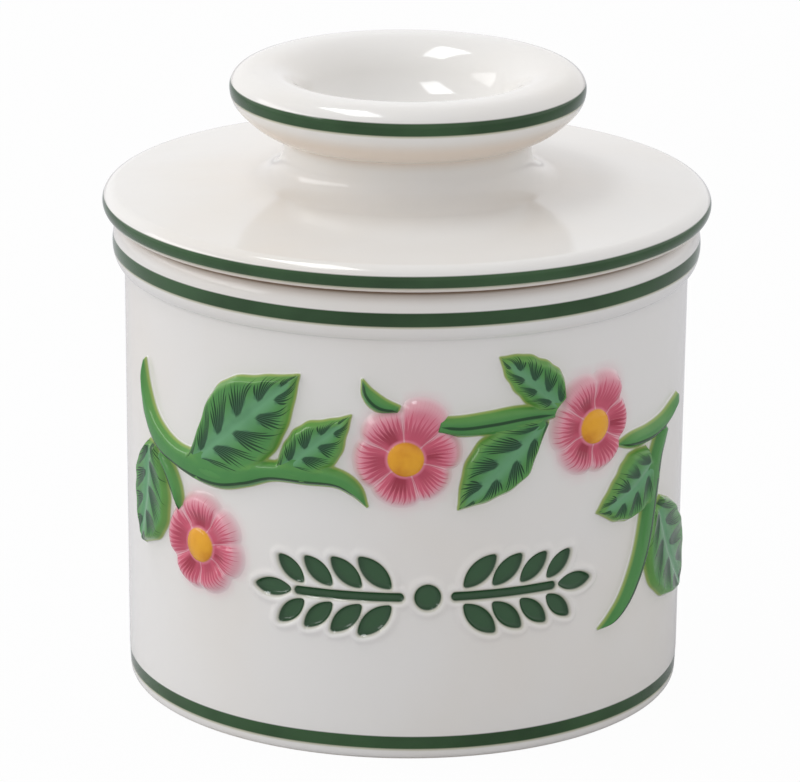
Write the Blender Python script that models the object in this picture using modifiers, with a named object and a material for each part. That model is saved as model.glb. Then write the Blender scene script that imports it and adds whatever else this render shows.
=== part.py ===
"""Butter crock: a two-piece, water-sealed crock that keeps butter soft at room temperature.

The crock holds a little water. The lid carries a bell, open downwards, that is packed with
butter and dips its mouth into the water. Pressed clay leaves, stems and blossoms are luted to
the outside of the crock.

Units are metres and +Z is up. The origin is the centre of the foot, on the table. The front of
the crock faces -Y. Flat layouts on the wall are given as (around, up): around is the distance
along the wall from the front, positive to the right as seen from the front, and up is height.
"""

import math

import bmesh
import bpy
from mathutils import Vector

MM = 0.001

# Pieces joined with slip keep a thin seam between their solids.
LUTING_GAP = 0.3 * MM

# Fineness of turned surfaces and of the arcs in their profiles
TURN_STEPS = 48
ARC_STEP_DEG = 22.5
MERGE_DISTANCE = 0.01 * MM

# Crock: foot
FOOT_RADIUS = 46.5 * MM
FOOT_ROUND = 1.2 * MM
FOOT_RING_INNER_RADIUS = 41.6 * MM
RECESS_RADIUS = 40.4 * MM
RECESS_HEIGHT = 1.6 * MM

# Crock: wall, slightly wider at the top
WALL_LOW_RADIUS = 46.7 * MM
WALL_LOW_HEIGHT = 5.0 * MM
WALL_HIGH_RADIUS = 47.15 * MM
WALL_HIGH_HEIGHT = 71.8 * MM
WALL_THICKNESS = 4.2 * MM
FLOOR_HEIGHT = 6.5 * MM
FLOOR_FILLET = 4.0 * MM

# Crock: rolled rim
RIM_RADIUS = 49.15 * MM
RIM_WIDEST_HEIGHT = 75.7 * MM
RIM_TOP = 80.0 * MM
RIM_ROLL = 2.15 * MM
RIM_ROLL_END_DEG = -86.0
MOUTH_RADIUS = 43.6 * MM
MOUTH_ROUND = 1.2 * MM

# Lid: plate with a rounded edge and a raised seat for the knob
LID_RADIUS = 50.8 * MM
LID_UNDERSIDE = RIM_TOP + LUTING_GAP
LID_EDGE_WIDTH = 2.5 * MM
LID_EDGE_HALF_HEIGHT = 2.3 * MM
PLATE_TOP = 86.4 * MM
PLATE_TOP_RADIUS = 26.3 * MM
KNOB_SEAT_HEIGHT = 87.6 * MM
ROOF_HEIGHT = 83.6 * MM
ROOF_RADIUS = 31.6 * MM

# Lid: the neck fillet starts on the plate and runs on up the knob
NECK_RADIUS = 20.7 * MM
NECK_HEIGHT = 91.0 * MM

# Lid: dished knob, which is the foot when the lid stands upside down at table
KNOB_RADIUS = 29.65 * MM
KNOB_WIDEST_HEIGHT = 101.8 * MM
KNOB_TOP = 105.0 * MM
KNOB_CREST_OUTER_RADIUS = 25.6 * MM
KNOB_CREST_INNER_RADIUS = 24.4 * MM
KNOB_UNDER_DROP = 4.6 * MM
KNOB_UNDER_END_DEG = -45.0
KNOB_BELLY_RADIUS = 24.9 * MM
KNOB_BELLY_HEIGHT = 95.4 * MM
KNOB_THROAT_RADIUS = 21.4 * MM
KNOB_THROAT_HEIGHT = 94.2 * MM
DISH_ROUND = 8.0 * MM
DISH_TURN_DEG = 155.0

# Lid: bell that holds the butter
BELL_TOP = LID_UNDERSIDE - LUTING_GAP
BELL_TOP_OUTER_RADIUS = 37.8 * MM
BELL_TOP_INNER_RADIUS = 33.4 * MM
BELL_MOUTH_HEIGHT = 27.5 * MM
BELL_MOUTH_OUTER_RADIUS = 37.2 * MM
BELL_MOUTH_INNER_RADIUS = 33.0 * MM

# Relief: pressed sprigs on the wall
WALL_UNROLL_RADIUS = 47.0 * MM
SPRIG_EDGE_HEIGHT = 0.5 * MM
LEAF_CROWN = 0.8 * MM
STEM_CROWN = 0.7 * MM
LEAF_FULLNESS = 0.75
LEAF_SKEW = 0.85
POINT_HALF_WIDTH = 0.2 * MM
STEM_TAPER = 0.6
LEAF_ROWS = 8
STEM_ROWS = 14
SPRIG_COLUMNS = 4
FULL_CROWN_WIDTHS = 4.0
BLOSSOM_RADIUS = 7.8 * MM
BLOSSOM_CROWN = 1.0 * MM
BLOSSOM_EYE_RADIUS = 2.8 * MM
BLOSSOM_EYE_HEIGHT = 0.7 * MM
BLOSSOM_PETALS = 6
BLOSSOM_LOBE_DEPTH = 0.12
BLOSSOM_SEGMENTS = 24
BLOSSOM_RINGS = 10
SHARP_ANGLE_DEG = 40.0

# Leaves, in mm: name, base, tip, half width left and right of the rib, sideways bend of the rib
LEAVES = (
    ("leaf_front_far_left", (-50.8, 43.6), (-53.8, 28.3), 6.3, 4.8, 0.6),
    ("leaf_front_large", (-37.8, 49.4), (-17.3, 65.0), 6.6, 6.8, 0.0),
    ("leaf_front_small_left", (-19.4, 51.8), (-8.8, 58.9), 3.4, 3.4, 0.0),
    ("leaf_front_upper_right", (26.4, 60.4), (15.4, 68.3), 2.9, 4.0, 0.0),
    ("leaf_front_lower_right", (22.6, 54.8), (8.8, 43.4), 4.6, 4.9, 0.0),
    ("leaf_front_side_branch", (46.8, 43.9), (33.5, 39.2), 5.3, 4.6, 0.4),
    ("leaf_front_far_right", (51.0, 34.8), (62.4, 18.8), 6.6, 6.2, -0.8),
    ("leaf_back_1", (101.0, 49.4), (112.0, 64.0), 5.6, 5.6, 0.0),
    ("leaf_back_2", (104.0, 40.0), (117.0, 27.0), 5.6, 5.6, 0.0),
    ("leaf_back_3", (141.0, 45.5), (153.0, 58.5), 5.8, 5.8, 0.0),
    ("leaf_back_4", (139.0, 34.6), (127.0, 22.5), 5.2, 5.2, 0.0),
    ("leaf_back_5", (178.0, 51.5), (164.0, 62.5), 5.4, 5.4, 0.0),
    ("leaf_back_6", (191.0, 43.0), (203.0, 29.5), 5.8, 5.8, 0.0),
)

# Stems, in mm: name, points along the rib, half width
STEMS = (
    (
        "vine_front_left",
        (
            (-52.4, 60.5), (-51.9, 55.5), (-50.0, 51.2), (-46.5, 48.2), (-42.0, 46.8),
            (-37.0, 46.0), (-32.0, 45.7), (-27.0, 46.9), (-22.0, 48.2), (-16.0, 48.4),
            (-11.0, 48.3), (-8.0, 46.6), (-6.2, 44.2),
        ),
        1.7,
    ),
    ("tendril_front_left", ((-45.6, 43.6), (-43.6, 41.8), (-42.0, 38.8)), 1.1),
    ("bud_front", ((-6.6, 64.8), (-5.6, 62.8), (-3.9, 61.4), (-1.6, 61.0)), 1.3),
    ("stem_front_middle", ((7.0, 57.7), (13.0, 57.7), (19.0, 58.1), (24.4, 58.2)), 1.6),
    ("branch_front_right", ((41.0, 49.9), (47.0, 49.8), (52.0, 50.8), (56.0, 52.8), (58.6, 54.4)), 1.5),
    (
        "stem_front_right",
        (
            (51.4, 47.2), (49.6, 43.0), (48.4, 38.0), (47.0, 33.0), (45.2, 28.5),
            (42.6, 24.2), (39.4, 20.8), (35.6, 18.9),
        ),
        1.7,
    ),
    (
        "vine_back",
        (
            (90.0, 40.0), (100.0, 45.2), (114.0, 46.2), (128.0, 42.0), (142.0, 39.2),
            (156.0, 41.2), (170.0, 46.4), (184.0, 48.0), (196.0, 46.4), (208.0, 50.5),
        ),
        1.6,
    ),
    ("bud_back", ((120.0, 66.4), (123.2, 65.4), (126.4, 65.2)), 1.5),
)

# Blossoms, in mm: name, centre, turn in degrees
BLOSSOMS = (
    ("blossom_front_left", (-36.3, 32.7), 0.0),
    ("blossom_front_centre", (0.2, 52.2), 10.0),
    ("blossom_front_right", (32.8, 54.5), 0.0),
    ("blossom_back_1", (127.0, 55.0), 0.0),
    ("blossom_back_2", (158.0, 28.5), 20.0),
    ("blossom_back_3", (187.0, 61.0), -15.0),
)

# Glaze colours, linear, with roughness
IVORY = ((0.78, 0.76, 0.71, 1.0), 0.12)
LEAF_GREEN = ((0.07, 0.17, 0.035, 1.0), 0.18)
STEM_GREEN = ((0.035, 0.11, 0.03, 1.0), 0.18)
ROSE = ((0.62, 0.12, 0.15, 1.0), 0.18)


def clear_scene():
    """Remove whatever the scene holds."""
    for item in list(bpy.data.objects):
        bpy.data.objects.remove(item, do_unlink=True)


def make_collection(name):
    """Add a collection to the scene."""
    collection = bpy.data.collections.new(name)
    bpy.context.scene.collection.children.link(collection)
    return collection


def glaze(name, finish):
    """Glossy fired glaze in one colour."""
    colour, roughness = finish
    material = bpy.data.materials.new(name + "_glaze")
    material.use_nodes = True
    shader = material.node_tree.nodes["Principled BSDF"]
    shader.inputs["Base Color"].default_value = colour
    shader.inputs["Roughness"].default_value = roughness
    shader.inputs["Metallic"].default_value = 0.0
    material.diffuse_color = colour
    return material


def add_object(name, mesh, finish, collection, parent=None):
    """Put a mesh in the collection as a named piece with its own material."""
    piece = bpy.data.objects.new(name, mesh)
    collection.objects.link(piece)
    mesh.materials.append(glaze(name, finish))
    if parent is not None:
        piece.parent = parent
        piece.location = -parent.location
    return piece


def arc(centre, across, up, start_deg, end_deg):
    """Points on an ellipse arc in the (radius, height) plane."""
    steps = max(1, round(abs(end_deg - start_deg) / ARC_STEP_DEG))
    points = []
    for step in range(steps + 1):
        angle = math.radians(start_deg + (end_deg - start_deg) * step / steps)
        points.append((centre[0] + across * math.cos(angle), centre[1] + up * math.sin(angle)))
    return points


def lathe(name, profile, finish, collection, parent=None, closed=False):
    """Turn a profile of (radius, height) points about Z; its outer side runs top to bottom."""
    mesh = bpy.data.meshes.new(name)
    points = [(radius, 0.0, height) for radius, height in profile]
    edges = [(index, index + 1) for index in range(len(points) - 1)]
    if closed:
        edges.append((len(points) - 1, 0))
    mesh.from_pydata(points, edges, [])
    piece = add_object(name, mesh, finish, collection, parent)
    screw = piece.modifiers.new("turn", "SCREW")
    screw.axis = "Z"
    screw.angle = math.tau
    screw.steps = TURN_STEPS
    screw.render_steps = TURN_STEPS
    screw.use_merge_vertices = True
    screw.merge_threshold = MERGE_DISTANCE
    screw.use_smooth_shade = True
    return piece


def neck_fillet(start_deg, end_deg):
    """Concave fillet between the neck (180 degrees) and the plate's top (270 degrees)."""
    across = PLATE_TOP_RADIUS - NECK_RADIUS
    up = NECK_HEIGHT - PLATE_TOP
    return arc((PLATE_TOP_RADIUS, NECK_HEIGHT), across, up, start_deg, end_deg)


def neck_angle(height):
    """Angle on the neck fillet at a height."""
    return 180.0 + math.degrees(math.asin((NECK_HEIGHT - height) / (NECK_HEIGHT - PLATE_TOP)))


def crock_profile():
    """Floor, inner wall, rolled rim, outer wall and recessed foot."""
    inner_radius = WALL_LOW_RADIUS - WALL_THICKNESS
    roll_centre = (RIM_RADIUS - RIM_ROLL, RIM_WIDEST_HEIGHT)
    floor_centre = (inner_radius - FLOOR_FILLET, FLOOR_HEIGHT + FLOOR_FILLET)
    mouth_centre = (MOUTH_RADIUS + MOUTH_ROUND, RIM_TOP - MOUTH_ROUND)
    foot_centre = (FOOT_RADIUS - FOOT_ROUND, FOOT_ROUND)
    points = [(0.0, FLOOR_HEIGHT)]
    points += arc(floor_centre, FLOOR_FILLET, FLOOR_FILLET, -90.0, 0.0)
    points += arc(mouth_centre, MOUTH_ROUND, MOUTH_ROUND, 180.0, 90.0)
    points += arc(roll_centre, RIM_ROLL, RIM_TOP - RIM_WIDEST_HEIGHT, 90.0, 0.0)
    points += arc(
        roll_centre, RIM_ROLL, RIM_WIDEST_HEIGHT - WALL_HIGH_HEIGHT, 0.0, RIM_ROLL_END_DEG
    )[1:]
    points.append((WALL_LOW_RADIUS, WALL_LOW_HEIGHT))
    points += arc(foot_centre, FOOT_ROUND, FOOT_ROUND, 0.0, -90.0)
    points.append((FOOT_RING_INNER_RADIUS, 0.0))
    points.append((RECESS_RADIUS, RECESS_HEIGHT))
    points.append((0.0, RECESS_HEIGHT))
    return points


def lid_plate_profile():
    """Seat for the knob, gently domed top, rounded edge, flat underside and roof of the bell."""
    edge_centre = (LID_RADIUS - LID_EDGE_WIDTH, LID_UNDERSIDE + LID_EDGE_HALF_HEIGHT)
    points = [(0.0, KNOB_SEAT_HEIGHT)]
    points += neck_fillet(neck_angle(KNOB_SEAT_HEIGHT), 270.0)
    points += arc(edge_centre, LID_EDGE_WIDTH, LID_EDGE_HALF_HEIGHT, 90.0, -90.0)
    points.append((BELL_TOP_INNER_RADIUS, LID_UNDERSIDE))
    points.append((ROOF_RADIUS, ROOF_HEIGHT))
    points.append((0.0, ROOF_HEIGHT))
    return points


def knob_profile():
    """Dished top, rounded crest with a flat land, full underside, throat and the top of the neck."""
    lip_centre = (KNOB_CREST_INNER_RADIUS, KNOB_TOP - DISH_ROUND)
    turn = math.radians(DISH_TURN_DEG)
    dish_centre = (
        lip_centre[0] + 2 * DISH_ROUND * math.cos(turn),
        lip_centre[1] + 2 * DISH_ROUND * math.sin(turn),
    )
    crest_centre = (KNOB_CREST_OUTER_RADIUS, KNOB_WIDEST_HEIGHT)
    crest_across = KNOB_RADIUS - KNOB_CREST_OUTER_RADIUS
    base_height = KNOB_SEAT_HEIGHT + LUTING_GAP
    points = [(0.0, dish_centre[1] - DISH_ROUND)]
    points += arc(dish_centre, DISH_ROUND, DISH_ROUND, -90.0, DISH_TURN_DEG - 180.0)
    points += arc(lip_centre, DISH_ROUND, DISH_ROUND, DISH_TURN_DEG, 90.0)[1:]
    points += arc(crest_centre, crest_across, KNOB_TOP - KNOB_WIDEST_HEIGHT, 90.0, 0.0)
    points += arc(crest_centre, crest_across, KNOB_UNDER_DROP, 0.0, KNOB_UNDER_END_DEG)[1:]
    points.append((KNOB_BELLY_RADIUS, KNOB_BELLY_HEIGHT))
    points.append((KNOB_THROAT_RADIUS, KNOB_THROAT_HEIGHT))
    points += neck_fillet(180.0, neck_angle(base_height))
    points.append((0.0, base_height))
    return points


def bell_profile():
    """Open tube with a rounded mouth, widening slightly towards the lid."""
    middle_radius = (BELL_MOUTH_OUTER_RADIUS + BELL_MOUTH_INNER_RADIUS) / 2
    mouth_round = (BELL_MOUTH_OUTER_RADIUS - BELL_MOUTH_INNER_RADIUS) / 2
    mouth_centre = (middle_radius, BELL_MOUTH_HEIGHT + mouth_round)
    points = [(BELL_TOP_INNER_RADIUS, BELL_TOP), (BELL_TOP_OUTER_RADIUS, BELL_TOP)]
    points += arc(mouth_centre, mouth_round, mouth_round, 0.0, -180.0)
    return points


def on_wall(around, up, height):
    """Point at a height above the outer wall, from its place in the unrolled layout."""
    slope = (WALL_HIGH_RADIUS - WALL_LOW_RADIUS) / (WALL_HIGH_HEIGHT - WALL_LOW_HEIGHT)
    radius = WALL_LOW_RADIUS + slope * (up - WALL_LOW_HEIGHT) + height
    angle = around / WALL_UNROLL_RADIUS
    return Vector((radius * math.sin(angle), -radius * math.cos(angle), up))


def spline_point(points, position):
    """Point and unit direction on a Catmull-Rom curve through the points, position 0 to 1."""
    spans = len(points) - 1
    span = min(int(position * spans), spans - 1)
    t = position * spans - span
    ends = [points[0] * 2 - points[1]] + list(points) + [points[-1] * 2 - points[-2]]
    a, b, c, d = ends[span:span + 4]
    place = (b * 2 + (c - a) * t + (a * 2 - b * 5 + c * 4 - d) * t ** 2
             + (b * 3 - a - c * 3 + d) * t ** 3) / 2
    direction = (c - a + (a * 2 - b * 5 + c * 4 - d) * 2 * t + (b * 3 - a - c * 3 + d) * 3 * t ** 2) / 2
    return place, direction.normalized()


def loft(name, rings):
    """Closed body through equal rings of points, with a flat cap at each end."""
    form = bmesh.new()
    sections = [[form.verts.new(point) for point in ring] for ring in rings]
    for near, far in zip(sections, sections[1:]):
        for index in range(len(near)):
            after = (index + 1) % len(near)
            form.faces.new((near[index], near[after], far[after], far[index]))
    form.faces.new(sections[0])
    form.faces.new(reversed(sections[-1]))
    bmesh.ops.recalc_face_normals(form, faces=form.faces[:])
    mesh = bpy.data.meshes.new(name)
    form.to_mesh(mesh)
    form.free()
    return mesh


def sprig(name, rib, half_width, crown, rows, finish, collection, parent):
    """Relief strip along a rib, crowned across, with its back just off the wall.

    half_width(position) gives the widths left and right of the rib at a position from 0 to 1.
    A strip narrower than FULL_CROWN_WIDTHS times its crown is crowned less.
    """
    front_sides = [1.0 - 2.0 * column / SPRIG_COLUMNS for column in range(SPRIG_COLUMNS + 1)]
    back_sides = [-1.0, 0.0, 1.0]
    rings = []
    for row in range(rows + 1):
        place, direction = spline_point(rib, row / rows)
        left, right = half_width(row / rows)
        across = Vector((-direction.y, direction.x))
        swell = crown * min(1.0, (left + right) / (FULL_CROWN_WIDTHS * crown))
        ring = []
        for side in front_sides:
            flat = place + across * side * (left if side > 0 else right)
            lift = LUTING_GAP + SPRIG_EDGE_HEIGHT + swell * (1.0 - side ** 2)
            ring.append(on_wall(flat.x, flat.y, lift))
        for side in back_sides:
            flat = place + across * side * (left if side > 0 else right)
            ring.append(on_wall(flat.x, flat.y, LUTING_GAP))
        rings.append(ring)
    piece = add_object(name, loft(name, rings), finish, collection, parent)
    shade(piece.data)
    return piece


def shade(mesh):
    """Smooth shading that keeps the edges sharp."""
    mesh.shade_smooth()
    mesh.set_sharp_from_angle(angle=math.radians(SHARP_ANGLE_DEG))


def make_leaf(row, collection, parent):
    """Pointed leaf whose rib bends sideways."""
    name, base, tip, left, right, bend = row
    start = Vector(base) * MM
    end = Vector(tip) * MM
    along = (end - start).normalized()
    middle = (start + end) / 2 + Vector((-along.y, along.x)) * bend * MM

    def half_width(position):
        shape = math.sin(math.pi * position ** LEAF_SKEW) ** LEAF_FULLNESS if 0 < position < 1 else 0.0
        return (
            POINT_HALF_WIDTH + left * MM * shape,
            POINT_HALF_WIDTH + right * MM * shape,
        )

    return sprig(
        name, [start, middle, end], half_width, LEAF_CROWN, LEAF_ROWS, LEAF_GREEN, collection, parent
    )


def make_stem(row, collection, parent):
    """Rolled stem that tapers towards both ends."""
    name, points, width = row
    rib = [Vector(point) * MM for point in points]

    def half_width(position):
        taper = max(0.0, math.sin(math.pi * position)) ** STEM_TAPER
        width_here = POINT_HALF_WIDTH + width * MM * taper
        return width_here, width_here

    return sprig(name, rib, half_width, STEM_CROWN, STEM_ROWS, STEM_GREEN, collection, parent)


def make_blossom(row, collection, parent):
    """Six rounded petals around a raised eye, pressed from a ball of clay."""
    name, centre, turn_deg = row
    form = bmesh.new()
    bmesh.ops.create_uvsphere(
        form, u_segments=BLOSSOM_SEGMENTS, v_segments=BLOSSOM_RINGS, radius=1.0
    )
    for vertex in form.verts:
        direction = vertex.co.copy()
        spread = min(1.0, math.hypot(direction.x, direction.y))
        angle = math.atan2(direction.y, direction.x)
        petal = math.cos(BLOSSOM_PETALS * (angle - math.radians(turn_deg)))
        reach = BLOSSOM_RADIUS * (1.0 - BLOSSOM_LOBE_DEPTH * (1.0 - petal) / 2)
        offset = reach * spread
        lift = LUTING_GAP
        if direction.z > -MERGE_DISTANCE:
            eye = max(0.0, 1.0 - (offset / BLOSSOM_EYE_RADIUS) ** 2)
            petals = BLOSSOM_CROWN * math.sqrt(max(0.0, 1.0 - spread ** 4))
            lift += SPRIG_EDGE_HEIGHT + petals + BLOSSOM_EYE_HEIGHT * eye
        around = centre[0] * MM + offset * math.cos(angle)
        up = centre[1] * MM + offset * math.sin(angle)
        vertex.co = on_wall(around, up, lift)
    mesh = bpy.data.meshes.new(name)
    form.to_mesh(mesh)
    form.free()
    piece = add_object(name, mesh, ROSE, collection, parent)
    shade(mesh)
    return piece


def make_crock(collection):
    """Crock with its luted leaves, stems and blossoms."""
    crock = lathe("crock_body", crock_profile(), IVORY, collection)
    for row in LEAVES:
        make_leaf(row, collection, crock)
    for row in STEMS:
        make_stem(row, collection, crock)
    for row in BLOSSOMS:
        make_blossom(row, collection, crock)
    return crock


def make_lid(collection):
    """Lid on an empty that sits on the lift axis, level with the rim."""
    axis = bpy.data.objects.new("lid_axis", None)
    axis.location = (0.0, 0.0, RIM_TOP)
    collection.objects.link(axis)
    lathe("lid_plate", lid_plate_profile(), IVORY, collection, axis)
    lathe("knob", knob_profile(), IVORY, collection, axis)
    lathe("bell", bell_profile(), IVORY, collection, axis, closed=True)
    return axis


def main():
    """Model the crock and its lid."""
    clear_scene()
    collection = make_collection("butter_crock")
    make_crock(collection)
    make_lid(collection)


main()
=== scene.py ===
"""Looks of the butter crock: glazed clay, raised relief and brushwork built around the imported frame.

Metres, +Z up, origin under the centre of the foot, front of the crock towards -Y. Layouts on the
wall are (around, up) in mm, as on paper wrapped round the crock: around is zero at the front and
positive to the right as seen from there. Lists of turned points are (radius, height).
"""

import math

import bpy
import numpy as np
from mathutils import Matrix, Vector


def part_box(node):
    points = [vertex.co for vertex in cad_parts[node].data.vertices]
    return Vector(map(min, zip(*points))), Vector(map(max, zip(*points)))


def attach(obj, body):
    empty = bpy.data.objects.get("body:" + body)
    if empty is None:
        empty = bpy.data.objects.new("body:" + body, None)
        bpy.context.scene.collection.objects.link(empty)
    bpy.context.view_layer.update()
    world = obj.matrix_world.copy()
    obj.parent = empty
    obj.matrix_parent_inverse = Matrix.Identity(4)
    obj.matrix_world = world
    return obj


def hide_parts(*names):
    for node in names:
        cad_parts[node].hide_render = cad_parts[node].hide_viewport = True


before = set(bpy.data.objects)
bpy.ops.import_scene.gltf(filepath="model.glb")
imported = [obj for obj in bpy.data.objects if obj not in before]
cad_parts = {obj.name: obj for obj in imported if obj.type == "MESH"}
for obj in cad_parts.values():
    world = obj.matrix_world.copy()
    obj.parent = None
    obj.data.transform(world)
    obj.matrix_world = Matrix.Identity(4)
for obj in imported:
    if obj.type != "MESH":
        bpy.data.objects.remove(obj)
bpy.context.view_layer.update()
MM = 0.001

# ---------------------------------------------------------------- sizes taken from the frame

CROCK_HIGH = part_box("crock_body")[1]
PLATE_LOW, PLATE_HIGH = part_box("lid_plate")
KNOB_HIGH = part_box("knob")[1]
BELL_LOW, BELL_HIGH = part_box("bell")

RIM_RADIUS = CROCK_HIGH.x
RIM_TOP = CROCK_HIGH.z
LID_RADIUS = PLATE_HIGH.x
LID_UNDERSIDE = PLATE_LOW.z
KNOB_RADIUS = KNOB_HIGH.x
KNOB_TOP = KNOB_HIGH.z
BELL_RADIUS = BELL_HIGH.x
BELL_MOUTH = BELL_LOW.z
BELL_TOP = BELL_HIGH.z

# ---------------------------------------------------------------- turned shapes, as the CAD has them

FOOT_RADIUS = 46.5 * MM
FOOT_ROUND = 1.2 * MM
FOOT_RING_INNER = 41.6 * MM
RECESS_RADIUS = 40.4 * MM
RECESS_HEIGHT = 1.6 * MM
WALL_LOW = (46.7 * MM, 5.0 * MM)
WALL_HIGH = (47.15 * MM, 71.8 * MM)
CROCK_INNER_RADIUS = 42.5 * MM
FLOOR_HEIGHT = 6.5 * MM
FLOOR_FILLET = 4.0 * MM
RIM_WIDEST = 75.7 * MM
RIM_ROLL = 2.15 * MM
MOUTH_RADIUS = 43.6 * MM
MOUTH_ROUND = 1.2 * MM
LID_EDGE = (2.5 * MM, 2.3 * MM)
PLATE_TOP = (26.3 * MM, 86.4 * MM)
ROOF = (31.6 * MM, 83.6 * MM)
NECK = (20.7 * MM, 91.0 * MM)
BELLY = (24.9 * MM, 94.5 * MM)
THROAT = (21.4 * MM, 94.2 * MM)
KNOB_WIDEST = 101.8 * MM
CREST_OUTER = 25.6 * MM
CREST_INNER = 24.4 * MM
UNDER_DROP = 4.6 * MM
DISH_ROUND = 8.0 * MM
DISH_TURN_DEG = 155.0
BELL_INNER_TOP = 33.4 * MM
BELL_MOUTH_RADII = (33.0 * MM, 37.2 * MM)
# Heights in mm over which painted seam shade darkens the rim under the lid, and over which the rim ends
# in bare clay that is darkened further as painted seam shade
SEAT_SHADE = (78.0, 79.7)
SEAT_BARE_AND_SHADE = (79.5, 79.9)
LID_COLUMNS = 288
BELL_COLUMNS = 192

# ---------------------------------------------------------------- relief on the wall, in mm

UNROLL_RADIUS = 47.0
LEAF_HEIGHT = 1.4
PETAL_HEIGHT = 1.2
# Distances in from the painted edge between which the relief rises
SHOULDER = (-0.65, 0.95)
# Share of a leaf's length from which its tip is rounded off
BLUNT_FROM = 0.98
# Width of the unpainted skirt that carries the relief down into the wall, and its height there
SKIRT = 0.75
FADED = -0.08
# Height of a sprig's hidden back, under the wall's surface
SUNK = -0.4
# Spacing of the wall's points where it carries the ornament
GRID = 0.32
# Lengths below this count as nothing
TINY = 1e-9
# Points along each side of an outline, and rows and columns of a leaf's grid
OUTLINE_POINTS = 60
LEAF_GRID = (84, 52)
# Rows of a leaf's or stem's grid past its ends, as shares of the skirt
SKIRT_ROWS = np.array([1.0, 0.9, 0.7, 0.4, 0.15])
# Least half width of a grid, share of its rows that is evenly spread, and least width past its ends
LEAST_HALF_WIDTH = 0.3
EVEN_ROWS = 0.6
SKIRT_POINT = 0.003
# Step in the relief where a sprig passes under its neighbour's edge
EDGE_STEP = 0.14
# Heights and depths of a leaf's scallops, midrib, veins and raised sides, and of a stem's ridge
SCALLOP = 0.09
MIDRIB = 0.20
VEIN = 0.07
CUP = 0.10
RIDGE = 0.12
# Heights and depths within a blossom
PETAL_CREASE = 0.38
PETAL_DISH = 0.32
PETAL_DOME = 0.3
EYE_DOME = 0.85
# Sprigs with their middles further apart than this don't touch; the others blend over this width
FAR_APART = 45.0
BLEND = 0.9

# name: base, tip, bend of the rib, half widths left and right of the rib at each fifth, fans a side
FRONT_LEAVES = {
    "leaf_front_far_left": (
        (-50.0, 46.8), (-53.8, 28.2), 0.8, (1.6, 4.6, 6.0, 6.3, 4.6), (1.4, 4.4, 5.0, 4.4, 2.8), 4,
    ),
    "leaf_front_large": (
        (-38.3, 46.4), (-17.2, 65.1), 0.0, (1.4, 4.0, 6.6, 6.6, 3.6), (2.6, 6.0, 7.5, 6.9, 4.2), 5,
    ),
    "leaf_front_small_left": (
        (-20.4, 48.6), (-8.6, 59.1), 0.0, (1.2, 2.9, 3.7, 3.3, 1.5), (1.0, 3.4, 4.3, 4.2, 2.3), 4,
    ),
    "leaf_front_upper_right": (
        (26.0, 59.0), (15.3, 68.5), 0.0, (1.6, 2.6, 2.9, 2.6, 1.7), (1.9, 4.1, 4.5, 3.9, 2.7), 4,
    ),
    "leaf_front_lower_right": (
        (23.3, 57.3), (8.7, 43.3), 0.0, (1.1, 2.8, 4.6, 4.1, 2.4), (1.4, 4.0, 5.6, 5.5, 3.5), 4,
    ),
    "leaf_front_side_branch": (
        (48.2, 45.0), (34.2, 39.2), 0.7, (3.0, 5.2, 5.6, 4.9, 3.1), (3.0, 5.0, 5.3, 4.0, 2.2), 4,
    ),
    "leaf_front_far_right": (
        (49.9, 36.6), (62.2, 18.4), -1.3, (2.4, 6.2, 7.6, 7.6, 5.0), (1.8, 5.2, 7.0, 6.4, 4.2), 4,
    ),
}

# name: base, tip, bend of the rib, half width at each fifth on both sides of the rib
BACK_LEAVES = {
    "leaf_back_1": ((101.0, 46.4), (112.4, 64.8), 0.6, (1.4, 4.8, 5.8, 5.2, 3.2)),
    "leaf_back_2": ((103.0, 44.0), (117.4, 26.2), -0.6, (1.4, 4.8, 5.8, 5.2, 3.2)),
    "leaf_back_3": ((140.0, 41.0), (153.6, 59.2), 0.8, (1.4, 5.0, 6.0, 5.4, 3.3)),
    "leaf_back_4": ((140.0, 38.0), (126.6, 21.8), 0.6, (1.4, 4.4, 5.4, 4.8, 3.0)),
    "leaf_back_5": ((179.0, 48.0), (163.4, 63.1), -0.6, (1.4, 4.6, 5.6, 5.0, 3.0)),
    "leaf_back_6": ((190.0, 46.6), (203.4, 28.8), 0.6, (1.4, 5.0, 6.0, 5.4, 3.3)),
}
BACK_FANS = 4
# How far back along the leaf a side vein starts, as a share of the leaf's length
VEIN_SWEEP = 0.20
LEAVES = FRONT_LEAVES | {
    name: (base, tip, bend, widths, widths, BACK_FANS)
    for name, (base, tip, bend, widths) in BACK_LEAVES.items()
}

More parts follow.
